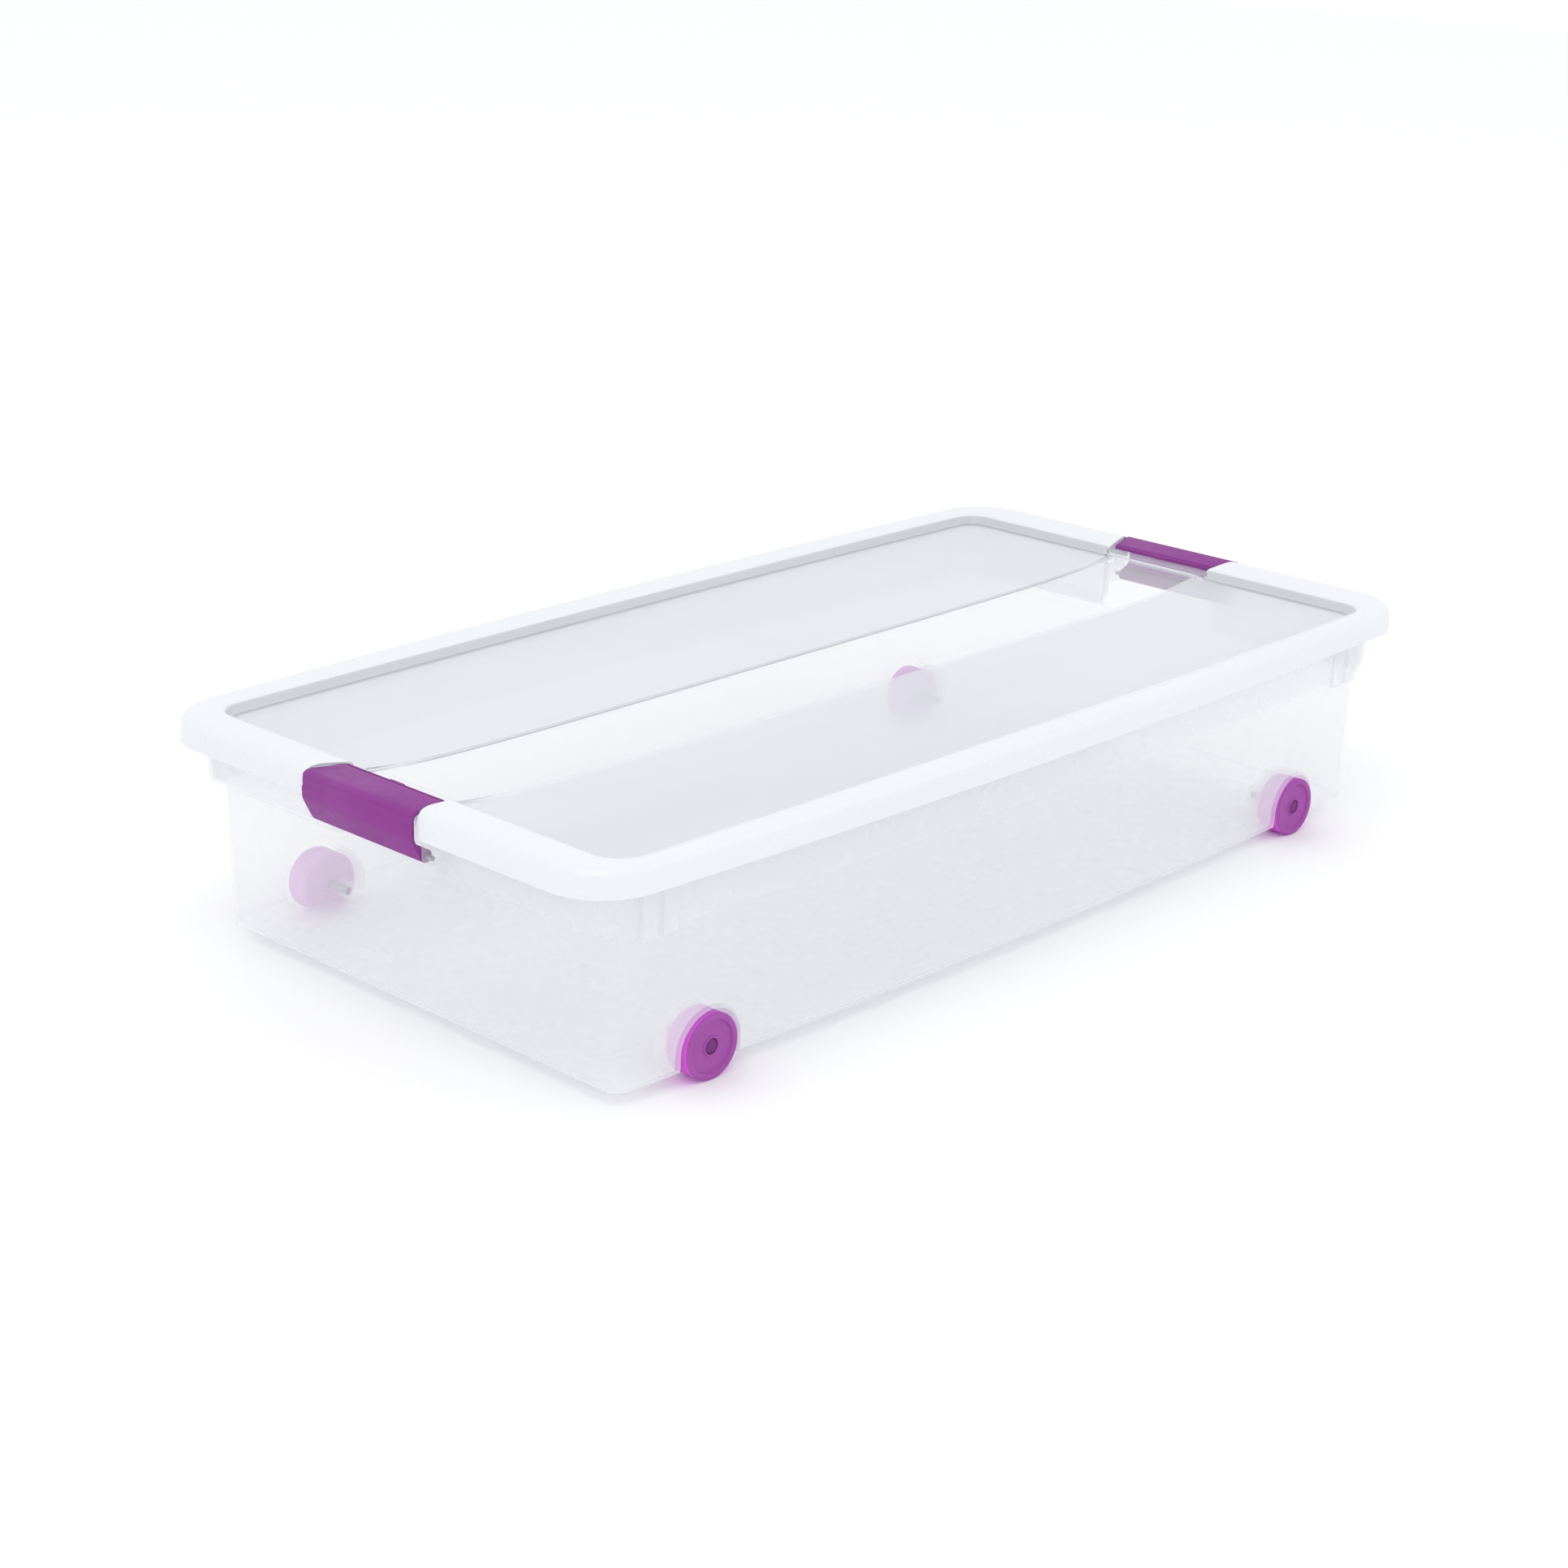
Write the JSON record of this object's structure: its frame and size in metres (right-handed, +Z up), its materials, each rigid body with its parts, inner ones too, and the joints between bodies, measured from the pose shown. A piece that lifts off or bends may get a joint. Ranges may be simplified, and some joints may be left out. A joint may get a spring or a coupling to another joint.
{
  "type": "under bed box",
  "caption": "Long low storage box with a clear tub on wheels, a clear lift-off lid and an over-centre snap latch at each short end.",
  "frame": {"origin": "on the floor under the middle of the box, at the centre of its footprint", "axes": "+X along the length towards the right latch, +Y across the width towards the back, +Z up"},
  "size_m": [0.892, 0.476, 0.174],
  "materials": {
    "tub_plastic": "clear polypropylene, softly cloudy",
    "lid_plastic": "clear polypropylene with frosted panels beside a smooth band",
    "purple_plastic": "satin moulded purple",
    "pin_steel": "plain steel rod"
  },
  "bodies": {
    "tub": {"tub": "tub_plastic", "latch_pin_left": "pin_steel", "latch_pin_right": "pin_steel", "axle_pin_front_left": "purple_plastic", "axle_pin_front_right": "purple_plastic", "axle_pin_back_left": "purple_plastic", "axle_pin_back_right": "purple_plastic"},
    "lid": {"lid": "lid_plastic"},
    "latch_left": {"latch_left": "purple_plastic"},
    "latch_right": {"latch_right": "purple_plastic"},
    "wheel_front_left": {"wheel_front_left": "purple_plastic"},
    "wheel_front_right": {"wheel_front_right": "purple_plastic"},
    "wheel_back_left": {"wheel_back_left": "purple_plastic"},
    "wheel_back_right": {"wheel_back_right": "purple_plastic"}
  },
  "joints": [
    {"name": "lid_lift", "type": "slide", "parent": "tub", "child": "lid", "axis": [0, 0, 1], "range_m": [0, 0.045]},
    {"name": "latch_right_hinge", "type": "hinge", "parent": "tub", "child": "latch_right", "pos_m": [0.434, 0, 0.1405], "axis": [0, 1, 0], "range_deg": [0, 150]},
    {"name": "latch_left_hinge", "type": "hinge", "parent": "tub", "child": "latch_left", "pos_m": [-0.434, 0, 0.1405], "axis": [0, -1, 0], "range_deg": [0, 150]},
    {"name": "wheel_front_left_spin", "type": "hinge", "parent": "tub", "child": "wheel_front_left", "pos_m": [-0.326, -0.2075, 0.023], "axis": [0, 1, 0], "continuous": true},
    {"name": "wheel_front_right_spin", "type": "hinge", "parent": "tub", "child": "wheel_front_right", "pos_m": [0.326, -0.2075, 0.023], "axis": [0, 1, 0], "continuous": true},
    {"name": "wheel_back_left_spin", "type": "hinge", "parent": "tub", "child": "wheel_back_left", "pos_m": [-0.326, 0.2075, 0.023], "axis": [0, 1, 0], "continuous": true},
    {"name": "wheel_back_right_spin", "type": "hinge", "parent": "tub", "child": "wheel_back_right", "pos_m": [0.326, 0.2075, 0.023], "axis": [0, 1, 0], "continuous": true}
  ],
  "couplings": [
    {"joint": "latch_right_hinge", "follows": "lid_lift", "rad_per_m": 58},
    {"joint": "latch_left_hinge", "follows": "lid_lift", "rad_per_m": 58}
  ]
}
